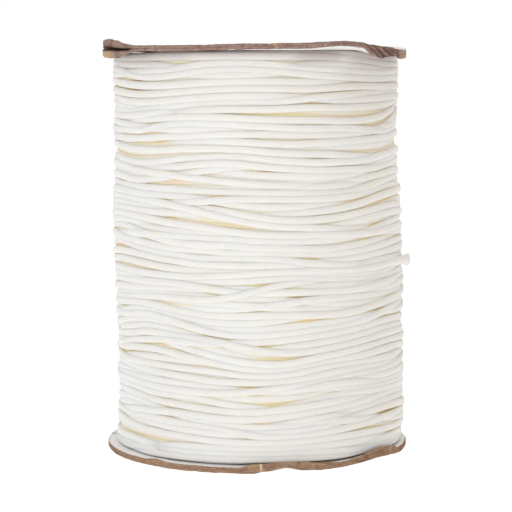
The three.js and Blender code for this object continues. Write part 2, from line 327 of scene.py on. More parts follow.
class Winder:
    """Lays the cord turn by turn on a map of the radius reached so far."""

    AHEAD = 50  # steps looked ahead
    COMMIT = 34  # steps laid at a time
    GUIDE_PULL = 0.35  # how firmly the hand's line is kept against the easier one
    STEEPEST = 4  # most map rows crossed in a step
    REACH = 2.6  # how far from the hand's line a turn may lie
    FORBIDDEN = 100.0  # the cost of lying on a disc
    MARGIN = 12  # map rows looked at beyond the place it comes from
    EASED, EASED_REACH = 3.0, 8  # steps that the line is softened over
    TIGHTENED = 140  # rounds in which it is pulled straight from one contact to the next

    def __init__(self):
        self.map = under_surface(column_azimuth[:, None], heights[None])
        self.low, self.high = height_limits(column_azimuth)
        self.half = int(SETTLED_RADIUS / GRID)
        self.offsets = np.arange(-self.half, self.half + 1)
        self.cap = np.sqrt(SETTLED_RADIUS ** 2 - (self.offsets * GRID) ** 2)
        self.step = WOUND_RADIUS * math.radians(STEP_DEGREES)
        self.raw, self.height, self.radius = [], [], []

    def lay(self, guide, commit):
        """Finds the easiest line near the guide and lays its first commit steps."""
        count, laid = len(guide), len(self.raw)
        rows = (laid + np.arange(count)) % COLUMNS
        low = int((guide.min() - self.REACH) / GRID)
        high = int((guide.max() + self.REACH) / GRID)
        if laid:
            low = min(low, int(self.raw[-1] / GRID) - self.MARGIN)
            high = max(high, int(self.raw[-1] / GRID) + self.MARGIN)
        low, high = max(low, self.half + 1), min(high, len(heights) - self.half - 1)
        width, span = high - low, heights[low:high]
        near = self.map[rows, low - self.half : high + self.half]
        contact = np.full((count, width), -1e9)
        for offset, cap in zip(self.offsets, self.cap):
            start = self.half + offset
            np.maximum(contact, near[:, start : start + width] + cap, out=contact)
        cost = (contact - contact.min()) / WOUND_RADIUS
        cost += self.GUIDE_PULL * (span[None] - guide[:, None]) ** 2
        cost *= self.step
        outside = (span < self.low[rows][:, None]) | (span > self.high[rows][:, None])
        cost += self.FORBIDDEN * outside
        shifts = np.arange(-self.STEEPEST, self.STEEPEST + 1)
        turning = (shifts * GRID) ** 2 / (2 * self.step)
        best = cost[0] + (1e3 * np.abs(span - self.raw[-1]) if laid else 0.0)
        came = np.zeros((count, width), int)
        padded = np.full(width + 2 * self.STEEPEST, 1e9)
        window = np.arange(width)
        index = (self.STEEPEST - shifts)[:, None] + window[None]
        for i in range(1, count):
            padded[self.STEEPEST : self.STEEPEST + width] = best
            options = padded[index] + turning[:, None]
            choice = options.argmin(0)
            best = options[choice, window] + cost[i]
            came[i] = shifts[choice]
        here = int(best.argmin())
        path = np.empty(count, int)
        for i in range(count - 1, -1, -1):
            path[i] = here
            here -= came[i][here]
        line = span[path]
        joined = np.concatenate([self.raw[-self.EASED_REACH :], line])
        eased = softened(joined, self.EASED, self.EASED_REACH)[-count:]
        at = np.clip((eased - span[0]) / GRID, 0, width - 1.001)
        cell = at.astype(int)
        share, each = at - cell, np.arange(count)
        inverse = 1.0 / (contact[each, cell] * (1 - share) + contact[each, cell + 1] * share)
        limit = np.concatenate([inverse[:1], inverse])
        taut = limit.copy()
        if laid:
            taut[0] = 1.0 / self.radius[-1]
        bridge = 1.0 / (2.0 * math.cos(math.radians(STEP_DEGREES)))
        for _ in range(self.TIGHTENED):
            taut[1:-1] = np.minimum(limit[1:-1], (taut[:-2] + taut[2:]) * bridge)
            taut[-1] = min(limit[-1], taut[-2])
        line, eased, radius = line[:commit], eased[:commit], (1.0 / taut[1:])[:commit]
        stamp(self.map, rows[:commit], eased, radius, SETTLED_RADIUS, SETTLED_RADIUS)
        self.raw += list(line)
        self.height += list(eased)
        self.radius += list(radius)

    def wind(self, guide):
        total = len(guide)
        guide = np.concatenate([guide, np.full(self.AHEAD + self.COMMIT, guide[-1])])
        done = 0
        while done < total:
            commit = min(self.COMMIT, total - done)
            self.lay(guide[done : done + commit + self.AHEAD], commit)
            done += commit
        return np.array(self.height), np.array(self.radius)


def stamp(surface, rows, height, radius, wide, thick):
    """Raises the map to the outside of a cord that passes over these rows."""
    reach = int(wide / GRID) + 1
    for offset in range(-reach, reach + 1):
        cell = np.round(height / GRID).astype(int) + offset
        away = cell * GRID - height
        inside = (np.abs(away) < wide) & (cell >= 0) & (cell < surface.shape[1])
        top = radius + thick * np.sqrt(np.maximum(1.0 - (away / wide) ** 2, 0.0))
        np.maximum.at(surface, (rows[inside], cell[inside]), top[inside])


def hand_line(rng):
    """The line that the hand leads the cord along, layer by layer, up to the loose end."""
    parts = []
    for first, last, pitch, stray, period in LAYERS:
        count = int(abs(last - first) / pitch * COLUMNS)
        parts.append(np.linspace(first, last, count, endpoint=False)
                     + smooth_noise(rng, count, COLUMNS * period, stray))
        parts.append(np.full(int(DWELL * COLUMNS), last))
    parts.pop()
    line = np.concatenate(parts)
    azimuth = np.arange(len(line)) * STEP_DEGREES
    low, high = height_limits(azimuth)
    line = np.clip(line, low, high)
    start_column = int(round((LOOSE_END_ROUTE[0, 0] % 360.0) / STEP_DEGREES))
    missing = (start_column - len(line)) % COLUMNS
    first_height = LOOSE_END_ROUTE[0, 2]
    return np.concatenate([line, np.linspace(LAYERS[-1][1], first_height, missing)])


def led_aside(azimuth, height, rng):
    """How far the turns here stand above or below their level line, after they have settled."""
    hidden = zip(rng.uniform(95, 265, HIDDEN_WAVES), rng.uniform(8, 88, HIDDEN_WAVES),
                 rng.choice([-1, 1], HIDDEN_WAVES) * rng.uniform(0.8, 1.8, HIDDEN_WAVES),
                 rng.uniform(14, 28, HIDDEN_WAVES), rng.uniform(6, 8, HIDDEN_WAVES))
    aside = np.zeros_like(height)
    for at, level, lift, wide, tall in [*WAVES, *hidden]:
        aside += lift * patch(azimuth, height, at, level, wide, tall)
    ends = smooth_step((height - 2.5) / 7.0) * smooth_step((94.0 - height) / 7.0)
    return aside * ends


PARTED_SHARE = 0.88  # how much of a stated gap is opened
PARTED_WITHIN = 0.85  # up to this far from its middle the turns move by half of that
PARTED_FADE = 1.8  # and beyond it less and less over this height


def parted(azimuth, height, outermost, rng):
    """How far each turn moves up or down to open long pointed gaps between neighbours."""
    more = zip(rng.uniform(0, 360, MORE_PARTED), rng.uniform(5, 92, MORE_PARTED),
               rng.uniform(7, 18, MORE_PARTED), rng.uniform(0.3, 0.5, MORE_PARTED))
    moved = np.zeros_like(height)
    for at, level, long, gap in [*PARTED, *more]:
        column = int(round(at % 360.0 / STEP_DEGREES)) % COLUMNS
        here = np.arange(column, len(height), COLUMNS)
        here = here[outermost[here]]
        here = here[np.argsort(height[here])]
        above = int(np.clip(np.searchsorted(height[here], level), 1, len(here) - 1))
        reach = int(1.4 * long / STEP_DEGREES)
        steps = np.arange(-reach, reach + 1)
        line = sum(height[np.clip(here[beside] + steps, 0, len(height) - 1)]
                   for beside in (above - 1, above)) / 2
        turn = turn_from(azimuth, at)
        away = height - np.interp(turn, steps * STEP_DEGREES, line)
        width = PARTED_SHARE * gap * np.maximum(1.0 - (turn / long) ** 2, 0.0) ** 1.5
        beyond = np.maximum(np.abs(away) - PARTED_WITHIN, 0.0)
        moved += 0.5 * width * np.tanh(away / 0.3) * np.exp(-beyond / PARTED_FADE)
    return moved


ROUNDS = 500  # rounds of pushing apart and pulling inwards
ROUNDS_A_SORT = 8  # rounds for which the turns' order by height is kept
PULL, LAST_PULL = 0.06, 0.025  # the pull inwards each round, and in the last of them
LAST_SHARE = 0.7  # the share of the rounds after which that one starts
NEIGHBOURS = 8  # how many turns above it a turn is held against
FIRM = 1.3  # where several neighbours touch, each push counts this much over its even share
STIFF_UP, STIFF_OUT = 0.4, 0.25  # how much of a kink the cord straightens each round
GROOVE, GROOVE_CREST = 1.6, 0.2  # a turn's least height over the even ones, more over their tops


def relax(height, radius, half, target, hold):
    """Neighbouring turns push each other apart while the tension pulls them all inwards."""
    count = len(height)
    turns = -(-count // COLUMNS)
    spare = turns * COLUMNS - count
    column = np.arange(count) % COLUMNS
    low, high = height_limits(column * STEP_DEGREES)
    free = 1.0 - hold

    def grid(values, fill):
        return np.concatenate([values, np.full(spare, fill)]).reshape(turns, COLUMNS).T.copy()

    for round_ in range(ROUNDS):
        if round_ % ROUNDS_A_SORT == 0:
            order = np.argsort(grid(height, 1e4), axis=1)
            halves = np.take_along_axis(grid(half, SETTLED_RADIUS), order, 1)
        radius = radius - (PULL if round_ < LAST_SHARE * ROUNDS else LAST_PULL)
        z = np.take_along_axis(grid(height, 2e4), order, 1)
        r = np.take_along_axis(grid(radius, 0.0), order, 1)
        push_z, push_r, touching = np.zeros_like(z), np.zeros_like(z), np.zeros_like(z)
        for reach in range(1, NEIGHBOURS + 1):
            dz, dr = z[:, reach:] - z[:, :-reach], r[:, reach:] - r[:, :-reach]
            apart = halves[:, reach:] + halves[:, :-reach] + 0.01
            square = dz * dz + dr * dr
            hit = square < apart * apart
            if not hit.any():
                continue
            distance = np.sqrt(np.maximum(square, 1e-6))
            push = np.where(hit, (apart - distance) * 0.5, 0.0) / distance
            touching[:, reach:] += hit
            touching[:, :-reach] += hit
            for total, part in ((push_z, dz * push), (push_r, dr * push)):
                total[:, reach:] += part
                total[:, :-reach] -= part
        share = FIRM / np.maximum(touching, FIRM)
        z += push_z * share
        r += push_r * share
        back_z, back_r = np.empty_like(z), np.empty_like(r)
        np.put_along_axis(back_z, order, z, 1)
        np.put_along_axis(back_r, order, r, 1)
        height, radius = back_z.T.reshape(-1)[:count], back_r.T.reshape(-1)[:count]
        eased_z, eased_r = height.copy(), radius.copy()
        eased_z[1:-1] += STIFF_UP * (0.5 * (height[2:] + height[:-2]) - height[1:-1])
        eased_r[1:-1] += STIFF_OUT * (0.5 * (radius[2:] + radius[:-2]) - radius[1:-1])
        height = np.clip(eased_z, low, high) * free + target * hold
        over = height - column * STEP_DEGREES * UNDER_PITCH / 360.0
        crest = 0.5 + 0.5 * np.cos(2 * np.pi * over / UNDER_PITCH)
        radius = np.maximum(eased_r, UNDER_RADIUS + GROOVE + GROOVE_CREST * crest)
    return height, radius


# ---- from the simulation to the roll
def blur(surface, columns, rows):
    """A soft average round (which closes on itself) and up, with these widths in cells."""
    for width, mode in ((columns, "wrap"), (rows, "edge")):
        reach = int(3 * width)
        padded = np.pad(surface, ((reach, reach), (0, 0)), mode=mode)
        surface = sum(weight * padded[i : i + len(surface)]
                      for i, weight in enumerate(bell(width, reach))).T
    return surface


def crests(surface, rows):
    """The highest value within so many rows up and down."""
    highest = surface.copy()
    for shift in range(1, rows + 1):
        highest[:, shift:] = np.maximum(highest[:, shift:], surface[:, :-shift])
        highest[:, :-shift] = np.maximum(highest[:, :-shift], surface[:, shift:])
    return highest


def read_map(surface, azimuth, height):
    """The map's value between its cells."""
    at = azimuth / STEP_DEGREES
    column = np.floor(at).astype(int)
    across = at - column
    up = np.clip(height / GRID, 0, surface.shape[1] - 1.001)
    row = up.astype(int)
    up = up - row
    left, right = column % COLUMNS, (column + 1) % COLUMNS
    return ((surface[left, row] * (1 - up) + surface[left, row + 1] * up) * (1 - across)
            + (surface[right, row] * (1 - up) + surface[right, row + 1] * up) * across)


def wound_radius(azimuth, height):
    """The radius of the roll's broad form."""
    radius = np.interp(height, WINDING_PROFILE[:, 0], WINDING_PROFILE[:, 1])
    for at, level, rise, wide, tall in SWELLS:
        radius = radius + rise * patch(azimuth, height, at, level, wide, tall)
    return radius


CORD_WIDE, CORD_THICK = 0.93, 0.92  # half sizes of the cord where it is pressed flat on the roll
FLAT_SHARE, FLAT_PERIOD = 0.20, 30  # how much wider or narrower the cord gets, over how many steps
STRAIGHTEN = 3.0  # steps over which the cord stays straight up and down
TAUT = 2.2  # and in and out
PRESSED_IN = 0.95  # how much of its height above the rest a crossing turn loses, into them
SUNK, LIFTED = -0.45, 0.6  # a turn lower than this is beneath, and rises by so much of the rest
UNEVEN = 0.04  # wander of the radius

rng = np.random.default_rng(SEED)
hand = hand_line(rng)
wound_count = len(hand)
route_azimuth = LOOSE_END_ROUTE[:, 0]
held_count = int((ROUTE_END - route_azimuth[0]) / STEP_DEGREES)
held_azimuth = route_azimuth[0] + STEP_DEGREES * np.arange(held_count)
held_height = np.interp(held_azimuth, route_azimuth, LOOSE_END_ROUTE[:, 2])
target = np.concatenate([hand, held_height])
hold = np.concatenate([np.zeros(wound_count), np.ones(held_count)])
EASE_IN = 30  # steps over which the winding runs into the held line
hold[wound_count - EASE_IN : wound_count] = smooth_step(np.arange(EASE_IN) / EASE_IN)

turns_height, turns_radius = Winder().wind(target)
flatness = smooth_noise(rng, len(target), FLAT_PERIOD, FLAT_SHARE)
flatness = np.clip(flatness, -0.3, 0.3) * (1.0 - hold)
turns_height, turns_radius = relax(turns_height, turns_radius, SETTLED_RADIUS * (1.0 + flatness),
                                   target, hold)
straight = softened(turns_height, STRAIGHTEN, 9)
turns_height = straight + hold * (turns_height - straight)
turns_azimuth = np.arange(len(target)) * STEP_DEGREES
turns_height = turns_height + led_aside(turns_azimuth, turns_height, rng) * (1.0 - hold)

FORM_CRESTS, FORM_ROUND, FORM_UP = 15, 10.0, 60.0  # map cells that the broad form is smoothed over
FORM_FROM, FORM_TO = 4.0, 92.5  # beside the discs it stays as it is at these heights
SHADE_CRESTS, SHADE_ROUND, SHADE_UP = 16, 1.5, 4.0  # and the surface that depth is counted from


def outer_map():
    """The outside of all the turns as they lie now."""
    surface = np.full((COLUMNS, len(heights)), UNDER_RADIUS)
    rows = np.arange(len(target)) % COLUMNS
    stamp(surface, rows, turns_height, turns_radius, CORD_WIDE, CORD_THICK)
    return surface


def broad_form():
    """That outside without its single turns."""
    form = blur(crests(outer_map(), FORM_CRESTS), FORM_ROUND, FORM_UP)
    return form[:, np.round(np.clip(heights, FORM_FROM, FORM_TO) / GRID).astype(int)]


# each turn keeps its place among its neighbours, and all move out together to the roll's form
standing = turns_radius + CORD_THICK - read_map(broad_form(), turns_azimuth, turns_height)
turns_radius = turns_radius - PRESSED_IN * np.maximum(standing, 0.0)
turns_radius = turns_radius + LIFTED * np.maximum(SUNK - standing, 0.0)
turns_radius = softened(turns_radius, TAUT, 6)
turns_radius += smooth_noise(rng, len(target), 12, UNEVEN) * (1.0 - hold)
form_here = read_map(broad_form(), turns_azimuth, turns_height)
outermost = turns_radius + CORD_THICK > form_here + SUNK
turns_height = turns_height + parted(turns_azimuth, turns_height, outermost, rng) * (1.0 - hold)
azimuths_all = column_azimuth[:, None] + 0.0 * heights[None]
move_out = wound_radius(azimuths_all, heights[None] + 0.0 * azimuths_all) - broad_form()
turns_radius = turns_radius + read_map(move_out, turns_azimuth, turns_height)

# the last of the winding runs into the loose end's route
along_route = turns_azimuth[wound_count:] - turns_azimuth[wound_count] + route_azimuth[0]
route_radius = np.interp(along_route, route_azimuth, LOOSE_END_ROUTE[:, 1])
to_route = LOOSE_END_ROUTE[0, 1] - turns_radius[:wound_count]
turns_radius[:wound_count] += hold[:wound_count] * to_route
turns_radius[wound_count:] = route_radius
turns_drift = drift_at(turns_height)
turns_drift += hold * (ROUTE_DRIFT - turns_drift)

# the finished surface, to know how deep each point lies between its neighbours
crest_map = blur(crests(outer_map(), SHADE_CRESTS), SHADE_ROUND, SHADE_UP)


def depth_below(points):
    """How far each point lies beneath the crests of the turns round it."""
    x, y = points[..., 0] - drift_at(points[..., 2]), points[..., 1]
    azimuth = np.degrees(np.arctan2(x, -y)) % 360.0
    # beside the discs nothing counts as deep
    ends = smooth_step((points[..., 2] - 1.9) / 1.2) * smooth_step((94.8 - points[..., 2]) / 1.6)
    return (read_map(crest_map, azimuth, points[..., 2]) - np.hypot(x, y)) * ends


# ---- materials
class Nodes:
    """The nodes of a material or of the sky, written line by line."""

    def __init__(self, owner):
        owner.use_nodes = True
        self.owner = owner
        self.nodes, self.links = owner.node_tree.nodes, owner.node_tree.links

    def add(self, kind, inputs=None, **settings):
        node = self.nodes.new("ShaderNode" + kind)
        for key, value in settings.items():
            setattr(node, key, value)
        for key, value in (inputs or {}).items():
            self.put(node.inputs[key], value)
        return node

    def put(self, socket, value):
        if isinstance(value, bpy.types.NodeSocket):
            self.links.new(value, socket)
        else:
            socket.default_value = value

    def maths(self, operation, one, two=0.0, clamp=False):
        node = self.add("Math", {0: one, 1: two}, operation=operation, use_clamp=clamp)
        return node.outputs[0]

    def times(self, one, two):
        return self.maths("MULTIPLY", one, two)

    def spread(self, value, low, high, to_low=0.0, to_high=1.0, easing="LINEAR"):
        """Runs from to_low to to_high while value goes from low to high."""
        node = self.add("MapRange", {
            "Value": value, "From Min": low, "From Max": high, "To Min": to_low, "To Max": to_high,
        }, interpolation_type=easing)
        return node.outputs["Result"]

    def mix(self, share, one, two, blend="MIX"):
        node = self.add("Mix", {0: share, 6: one, 7: two}, data_type="RGBA",
                        blend_type=blend)
        return node.outputs[2]

    def layers(self, colour, *over):
        """Lays colours over the first: what each follows, from, to, its greatest share."""
        for value, low, high, most, upper in over:
            colour = self.mix(self.spread(value, low, high, 0.0, most), colour, upper)
        return colour

    def noise(self, vector, scale, detail=3.0, roughness=0.55):
        node = self.add("TexNoise", {"Vector": vector, "Scale": scale, "Detail": detail,
                                               "Roughness": roughness})
        return node.outputs["Fac"]

    def scaled(self, vector, scale):
        node = self.add("Mapping", {"Vector": vector, "Scale": scale})
        return node.outputs["Vector"]

    def uv(self, name):
        return self.add("UVMap", uv_map=name).outputs["UV"]

    def place(self):
        return self.add("TexCoord").outputs["Object"]

    def value(self, name):
        return self.add("Attribute", attribute_name=name).outputs["Fac"]

    def bump(self, height, strength, distance, normal=None):
        inputs = {"Height": height, "Strength": strength, "Distance": distance}
        if normal is not None:
            inputs["Normal"] = normal
        return self.add("Bump", inputs).outputs["Normal"]

    def finish(self, **sockets):
        """Fills the shader's sockets and gives back the material."""
        for name, value in sockets.items():
            self.put(self.nodes["Principled BSDF"].inputs[name.replace("_", " ")], value)
        return self.owner


def shading(name):
    return Nodes(bpy.data.materials.new(name))


CORD_LIGHT = (0.82, 0.82, 0.81, 1.0)
# the cord's creamier tone, which near the top is also painted shade
CORD_CREAM_AND_SHADE = (0.80, 0.78, 0.74, 1.0)
# painted shadow under the top disc's rim, with the warm light its kraft throws back
CORD_RIM_SHADOW = (0.44, 0.38, 0.37, 1.0)
# painted shade in the creases, and painted warm bounce light in the deep gaps
CORD_CREASE_SHADE = (0.80, 0.79, 0.61, 1.0)
CORD_GOLD_BOUNCE = (0.84, 0.72, 0.27, 1.0)
CORD_AMBER_BOUNCE = (0.88, 0.62, 0.34, 1.0)
THREADS, THREAD_STEP = 9, 1.15  # round the cord, and the millimetres between them along it


def cord_material():
    m = shading("satin_cord")
    uv = m.uv("cord_uv")
    axes = m.add("SeparateXYZ", {0: uv})
    along, round_ = axes.outputs["X"], axes.outputs["Y"]
    # two sets of fine threads cross as they run round the cord
    turn = m.times(round_, 2 * math.pi * THREADS)
    run = m.times(along, 2 * math.pi / THREAD_STEP)
    one = m.maths("SINE", m.maths("ADD", run, turn))
    two = m.maths("SINE", m.maths("SUBTRACT", run, turn))
    threads = m.maths("MAXIMUM", one, two)
    slubs = m.noise(m.scaled(uv, (0.35, 2.0, 1.0)), 1.0, 4.0)
    fibres = m.noise(m.scaled(uv, (2.5, 60.0, 1.0)), 1.0, 2.0)
    depth = m.value("depth")
    tone_and_shade = m.value("tone_and_shade")
    # slubs and tone are creamier; towards the top the tone is painted shade
    colour = m.layers(CORD_LIGHT, (slubs, 0.35, 0.7, 0.6, CORD_CREAM_AND_SHADE),
                      (tone_and_shade, 0.0, 1.0, 0.5, CORD_CREAM_AND_SHADE))
    # painted shadow of the top disc's rim
    colour = m.mix(m.value("rim_shadow"), colour, CORD_RIM_SHADOW)
    shade = m.spread(threads, -0.6, 1.0, 0.972, 1.0)
    greys = m.add("CombineColor", {0: shade, 1: shade, 2: shade}).outputs[0]
    colour = m.mix(1.0, colour, greys, "MULTIPLY")
    # painted shade and bounce light: yellowish in the creases, warm gold deep between the turns
    flank = m.spread(m.maths("SINE", m.times(round_, 2 * math.pi)), -0.4, 0.6, 1.0, 0.0)
    crease_shade = m.times(flank, m.spread(depth, 0.1, 0.35, 0.0, 0.9))
    colour = m.mix(crease_shade, colour, CORD_CREASE_SHADE)
    stretch = m.noise(m.scaled(uv, (0.045, 0.0, 1.0)), 1.0, 2.0)
    warm_bounce = m.mix(m.spread(stretch, 0.42, 0.6), CORD_GOLD_BOUNCE, CORD_AMBER_BOUNCE)
    colour = m.mix(m.times(flank, m.spread(depth, 0.3, 0.55)), colour, warm_bounce)
    colour = m.layers(colour, (depth, 0.66, 1.15, 1.0, warm_bounce))
    relief = m.maths("ADD", m.times(threads, 0.7), m.times(fibres, 0.8))
    normal = m.bump(relief, 0.14, 0.00006)
    normal = m.bump(slubs, 0.35, 0.00035, normal)
    rough = m.spread(fibres, 0.3, 0.7, 0.40, 0.56)
    return m.finish(Base_Color=colour, Roughness=rough, Normal=normal, Specular_IOR_Level=0.35,
                    Sheen_Weight=0.15, Sheen_Roughness=0.4, Subsurface_Weight=0.2,
                    Subsurface_Radius=(1.0, 0.7, 0.35), Subsurface_Scale=0.0008)


KRAFT = (0.31, 0.176, 0.108, 1.0)
KRAFT_LIGHT = (0.52, 0.342, 0.238, 1.0)
KRAFT_GOLD = (0.62, 0.45, 0.22, 1.0)
# dark kraft, also used as painted shade inside the split
KRAFT_DARK_AND_SHADE = (0.12, 0.065, 0.035, 1.0)
KRAFT_PALE = (0.78, 0.64, 0.50, 1.0)
ROSY = (0.93, 0.97, 1.22, 1.0)
PAPER, PAPER_STAIN = (0.88, 0.88, 0.87, 1.0), (0.83, 0.82, 0.79, 1.0)
# the dark paper colour serves the darker edges and the painted shade beneath the top disc
PAPER_SCUFF, PAPER_SHADE_AND_DARK_EDGE = (0.62, 0.58, 0.53, 1.0), (0.36, 0.32, 0.33, 1.0)


def rim_material():
    m = shading("kraft_rim")
    uv = m.uv("rim_uv")
    fibres = m.noise(m.scaled(uv, (0.9, 3.6, 1.0)), 1.0, 5.0, 0.7)
    plies = m.noise(m.scaled(uv, (0.1, 4.5, 1.0)), 1.0, 2.0)
    spots = m.noise(m.scaled(uv, (0.9, 1.5, 1.0)), 1.0, 4.0, 0.75)
    flecks = m.noise(m.scaled(uv, (2.4, 5.0, 1.0)), 1.3, 2.0)
    tint, rosy = m.value("tint"), m.value("rosy")
    # the dark tints include painted shade inside the top rim's split
    colour = m.layers(
        KRAFT, (fibres, 0.34, 0.66, 1.0, KRAFT_LIGHT), (plies, 0.45, 0.65, 0.25, KRAFT_DARK_AND_SHADE),
        (spots, 0.51, 0.66, 0.7, KRAFT_DARK_AND_SHADE), (flecks, 0.60, 0.70, 0.6, KRAFT_PALE),
        (tint, 0.0, 0.8, 0.8, KRAFT_GOLD), (tint, 0.8, 1.0, 0.9, KRAFT_PALE),
        (tint, 0.0, -1.0, 0.9, KRAFT_DARK_AND_SHADE))
    colour = m.mix(rosy, colour, ROSY, "MULTIPLY")
    relief = m.maths("ADD", fibres, m.times(plies, 0.8))
    normal = m.bump(relief, 0.7, 0.0004)
    rough = m.spread(spots, 0.3, 0.7, 0.82, 0.95)
    return m.finish(Base_Color=colour, Roughness=rough, Normal=normal, Specular_IOR_Level=0.2)


def paper_material():
    m = shading("white_paper")
    place = m.place()
    pulp = m.noise(place, 900.0, 4.0, 0.7)
    face_marks = m.noise(place, 60.0, 3.0)
    scuffs = m.noise(m.scaled(place, (1.0, 0.3, 1.0)), 420.0, 2.0)
    # darker places on the paper: its marks, and painted shade beneath the top disc
    shade_and_marks = m.value("tint")
    colour = m.layers(
        PAPER, (face_marks, 0.4, 0.7, 0.7, PAPER_STAIN), (scuffs, 0.62, 0.75, 0.35, PAPER_SCUFF),
        (shade_and_marks, 0.0, -1.0, 0.7, PAPER_SHADE_AND_DARK_EDGE))
    normal = m.bump(pulp, 0.35, 0.0002)
    rough = m.spread(pulp, 0.3, 0.7, 0.7, 0.86)
    return m.finish(Base_Color=colour, Roughness=rough, Normal=normal, Specular_IOR_Level=0.3)


satin = cord_material()
kraft = rim_material()
paper = paper_material()


# ---- the loose end
END_STEPS = 7  # rings between two points of the route
END_FLARE_LENGTH = 3.4  # the cut end is pressed flat and spreads like a tail
END_FLARE_WIDE, END_FLARE_THICK = 1.55, 0.78
FREED_FROM, FREED_OVER = 0.45, 0.4  # shares of its length where it comes free and rounds out

route_points = around(route_azimuth, LOOSE_END_ROUTE[:, 1], LOOSE_END_ROUTE[:, 2], ROUTE_DRIFT)
end_line = catmull_rom(route_points, END_STEPS)
end_length = length_along(end_line)
cord_length = end_length[-1]
freed = smooth_step((end_length / cord_length - FREED_FROM) / FREED_OVER)
flare = smooth_step((end_length - cord_length + END_FLARE_LENGTH) / END_FLARE_LENGTH) ** 1.5


def end_half(pressed, flared):
    """Half the end's width or thickness: pressed flat, then round, then flared at the cut."""
    half = pressed * (1 - freed) + CORD_DIAMETER / 2 * freed
    return half + flare * (flared - half)


end_wide = end_half(CORD_WIDE, END_FLARE_WIDE)
end_thick = end_half(CORD_THICK, END_FLARE_THICK)
end_outward = end_line - np.array([ROUTE_DRIFT, 0.0, 0.0])
end_outward[:, 2] = 0.0
end_mesh, end_rings = tube_mesh("loose_end_cord", end_line, end_outward, end_wide, end_thick, 20)
colour_cord(end_mesh, depth_below(end_rings), 0.3, 0.0)
loose_end = add_object("loose_end_cord", end_mesh, satin)
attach(loose_end, "root")
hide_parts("loose_end")


# ---- the winding
# painted shadow of the top disc's rim, warmed by its kraft: azimuth, half width, how far down,
# share
PAINTED_RIM_SHADOW = [
    (0, 180, 1.7, 0.8), (-60, 26, 3.2, 1.0), (-35, 14, 2.2, 0.95), (25, 14, 2.8, 1.0),
    (58, 24, 4.2, 1.0), (0, 180, 11.0, 0.1), (62, 34, 14.0, 0.3),
]


# how much painted shadow of the top disc's rim falls on each point
def rim_shadow(points):
    azimuth = np.degrees(np.arctan2(points[..., 0], -points[..., 1]))
    below = SPOOL_HEIGHT - DISC_THICKNESS - points[..., 2]
    share = np.zeros_like(below)
    for at, wide, down, amount in PAINTED_RIM_SHADOW:
        turn = turn_from(azimuth, at)
        share = np.maximum(share, amount * np.exp(-(turn / wide) ** 4 - (below / down) ** 2))
    return share


TURN_SIDES = 16
FULLNESS = 2.8  # pressed by its neighbours, the cord's section is a squarer ellipse
STEP_LENGTH = 1.78  # of cord, in millimetres
PIECES = 4
TUCK = 2  # rings that the winding runs on inside the loose end

cord_line = around(turns_azimuth, turns_radius, turns_height, turns_drift)
cord_outward = around(turns_azimuth, np.ones_like(turns_azimuth), 0.0, 0.0)
ring_count = wound_count + 1 + TUCK
variation = smooth_noise(rng, len(cord_line), 22, 1.0)
strand_tone_and_shade = 0.3 + 0.25 * smooth_noise(rng, len(cord_line), COLUMNS * 0.8, 1.0)
top_shade = 0.6 * smooth_step((turns_height - 76.0) / 16.0)  # painted shade: darker and creamier towards the top
strand_tone_and_shade = np.clip(strand_tone_and_shade + top_shade, 0.0, 1.0)
rings_left = wound_count - np.arange(len(cord_line))
settle = np.clip(rings_left / 30.0, 0.0, 1.0)
tucked = np.where(rings_left < 0, 0.96, 1.0)
cord_wide = CORD_WIDE * (1.0 + 0.025 * variation * settle) * tucked
cord_thick = CORD_THICK * (1.0 - 0.02 * variation * settle) * tucked
cuts = np.linspace(0, ring_count - 1, PIECES + 1).astype(int)
for number, (start, stop) in enumerate(zip(cuts[:-1], cuts[1:])):
    part = slice(start, stop + 1)
    name = f"turns_{number + 1}"
    mesh, rings = tube_mesh(name, cord_line[part], cord_outward[part], cord_wide[part],
                            cord_thick[part], TURN_SIDES, STEP_LENGTH * start, FULLNESS)
    colour_cord(mesh, depth_below(rings), np.repeat(strand_tone_and_shade[part], TURN_SIDES), rim_shadow(rings))
    piece = add_object(name, mesh, satin)
    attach(piece, "root")
    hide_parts("winding")


# ---- the even turns beneath
def lathe_mesh(name, sections, upper_pole, lower_pole):
    """A closed body from sections[column, row, xyz], top row first, with a pole at each end."""
    columns, rows = sections.shape[:2]
    points = np.concatenate([sections.reshape(-1, 3), [upper_pole, lower_pole]])
    here = np.arange(columns)[:, None] * rows + np.arange(rows - 1)[None]
    there = (np.arange(columns)[:, None] + 1) % columns * rows + np.arange(rows - 1)[None]
    quads = np.stack([here, here + 1, there + 1, there], axis=-1).reshape(-1, 4).tolist()
    upper, lower = columns * rows, columns * rows + 1
    for column in range(columns):
        a, b = column * rows, (column + 1) % columns * rows
        quads.append([upper, a, b])
        quads.append([lower, b + rows - 1, a + rows - 1])
    mesh = bpy.data.meshes.new(name)
    mesh.from_pydata((points * MM).tolist(), [], quads)
    mesh.shade_smooth()
    return mesh


INNER_BELOW = 0.12  # how far these turns keep under the ones that lie on them
INNER_LIMIT = 32.0  # their greatest radius
INNER_RADIUS = 30.0  # about their usual one, for the length of their threads
INNER_DEPTH = 2.2  # the depth that colours them all with the painted warm bounce light
inner_heights = np.arange(1.75, 94.6, UNDER_PITCH / 6)[::-1]
inner_azimuth = np.arange(0.0, 360.0, STEP_DEGREES)
azimuth_grid, height_grid = np.meshgrid(inner_azimuth, inner_heights, indexing="ij")
inner_radius = under_surface(azimuth_grid, height_grid) - INNER_BELOW
inner_radius = inner_radius + read_map(move_out, azimuth_grid, height_grid)
inner_radius = np.minimum(inner_radius, INNER_LIMIT)
inner_drift = drift_at(height_grid)
inner_points = around(azimuth_grid, inner_radius, height_grid, inner_drift)
inner_mesh = lathe_mesh("turns_beneath", inner_points, [inner_drift[0, 0], 0.0, inner_heights[0]],
                        [inner_drift[0, -1], 0.0, inner_heights[-1]])
colour_cord(inner_mesh, INNER_DEPTH, 0.5, 0.0)
